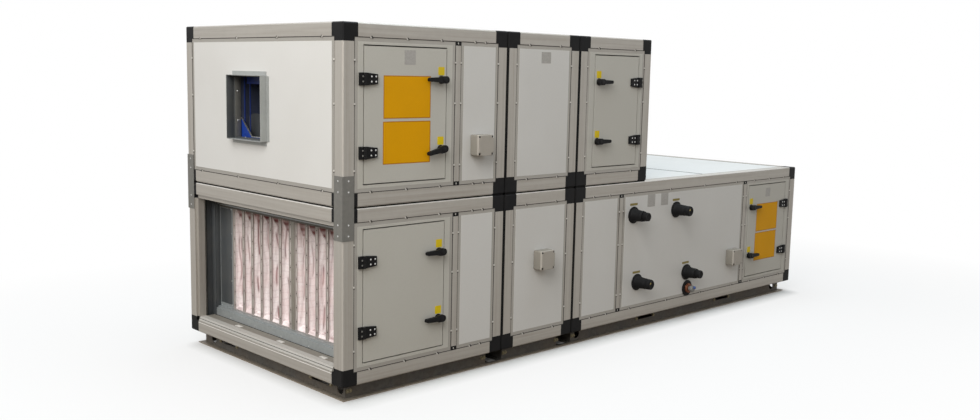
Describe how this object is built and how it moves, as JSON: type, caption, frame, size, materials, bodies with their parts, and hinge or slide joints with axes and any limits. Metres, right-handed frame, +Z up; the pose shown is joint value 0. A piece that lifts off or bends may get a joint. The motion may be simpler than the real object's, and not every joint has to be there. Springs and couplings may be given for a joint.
{
  "type": "two-tier air handling unit",
  "caption": "Two-tier air handling unit: framed sandwich-panel sections on channel bases, with hinged doors, bag filters, coil pipe stubs and a fan outlet collar.",
  "frame": {"origin": "middle of the footprint, on the floor: the centre of the part's reach in X and Y, at the underside of the base channels", "axes": "+X along the service side from the inlet end to the coil end, +Y from the service side to the back, +Z up"},
  "size_m": [4.155, 1.6004, 1.803],
  "materials": {
    "aluminium_profile": "extruded, satin, light dust",
    "black_plastic": "moulded, fine grain",
    "panel_coat": "coil-coated sheet, slight sheen",
    "door_coat": "coil-coated sheet, slight sheen",
    "bead_plastic": "extruded grey plastic",
    "foam": "closed-cell foam",
    "base_steel": "dark galvanised, spangled",
    "galvanised": "galvanised, spangled",
    "filter_cloth": "white needled fleece with a pink cast",
    "duct_lining": "dark grey flexible connector",
    "fan_paint": "blue enamel",
    "box_plastic": "moulded warm grey",
    "boot_rubber": "moulded black rubber",
    "pipe_metal": "dark capped pipe",
    "drain_plastic": "grey waste pipe"
  },
  "bodies": {
    "casing": {"frame_inlet": "aluminium_profile", "frame_lower_middle": "aluminium_profile", "frame_coil": "aluminium_profile", "frame_fan": "aluminium_profile", "frame_upper_middle": "aluminium_profile", "frame_upper_end": "aluminium_profile", "panels_inlet": "panel_coat", "panels_lower_middle": "panel_coat", "panels_coil": "panel_coat", "panels_fan": "panel_coat", "panels_upper_middle": "panel_coat", "panels_upper_end": "panel_coat", "corner_blocks_lower": "black_plastic", "corner_blocks_upper": "black_plastic", "uprights": "aluminium_profile", "beads_lower": "bead_plastic", "beads_upper": "bead_plastic", "section_gaskets": "foam", "base_side_channels": "base_steel", "base_end_channels": "base_steel", "splice_plates": "galvanised", "door_frames": "panel_coat", "fan_door": "door_coat", "upper_end_door": "door_coat", "frame_hinge_leaves": "black_plastic", "upper_door_hinges": "black_plastic", "upper_door_handles": "black_plastic", "filter_frame": "galvanised", "wide_bag_filter": "filter_cloth", "narrow_bag_filter": "filter_cloth", "outlet_collar": "galvanised", "outlet_duct": "duct_lining", "fan_scroll": "fan_paint", "fan_side_plates": "fan_paint", "junction_boxes": "box_plastic", "pipe_boots": "boot_rubber", "pipe_stubs": "pipe_metal", "drain_stub": "drain_plastic"},
    "inlet_door_body": {"inlet_door": "door_coat", "inlet_door_hinge_leaves": "black_plastic", "inlet_handle_bases": "black_plastic"},
    "coil_door_body": {"coil_door": "door_coat", "coil_door_hinge_leaves": "black_plastic", "coil_handle_bases": "black_plastic"},
    "inlet_lever_low_body": {"inlet_lever_low": "black_plastic"},
    "inlet_lever_high_body": {"inlet_lever_high": "black_plastic"},
    "coil_lever_low_body": {"coil_lever_low": "black_plastic"},
    "coil_lever_high_body": {"coil_lever_high": "black_plastic"}
  },
  "joints": [
    {"name": "inlet_door_swing", "type": "hinge", "parent": "casing", "child": "inlet_door_body", "pos_m": [-1.9185, -0.69225, 0.186], "axis": [0, 0, -1], "range_deg": [0, 110]},
    {"name": "coil_door_swing", "type": "hinge", "parent": "casing", "child": "coil_door_body", "pos_m": [1.9475, -0.69225, 0.186], "axis": [0, 0, 1], "range_deg": [0, 110]},
    {"name": "inlet_lever_low_turn", "type": "hinge", "parent": "inlet_door_body", "child": "inlet_lever_low_body", "pos_m": [-1.4415, -0.69425, 0.334], "axis": [0, -1, 0], "range_deg": [0, 90]},
    {"name": "inlet_lever_high_turn", "type": "hinge", "parent": "inlet_door_body", "child": "inlet_lever_high_body", "pos_m": [-1.4415, -0.69425, 0.679], "axis": [0, -1, 0], "range_deg": [0, 90]},
    {"name": "coil_lever_low_turn", "type": "hinge", "parent": "coil_door_body", "child": "coil_lever_low_body", "pos_m": [1.4905, -0.69425, 0.334], "axis": [0, 1, 0], "range_deg": [0, 90]},
    {"name": "coil_lever_high_turn", "type": "hinge", "parent": "coil_door_body", "child": "coil_lever_high_body", "pos_m": [1.4905, -0.69425, 0.679], "axis": [0, 1, 0], "range_deg": [0, 90]}
  ]
}
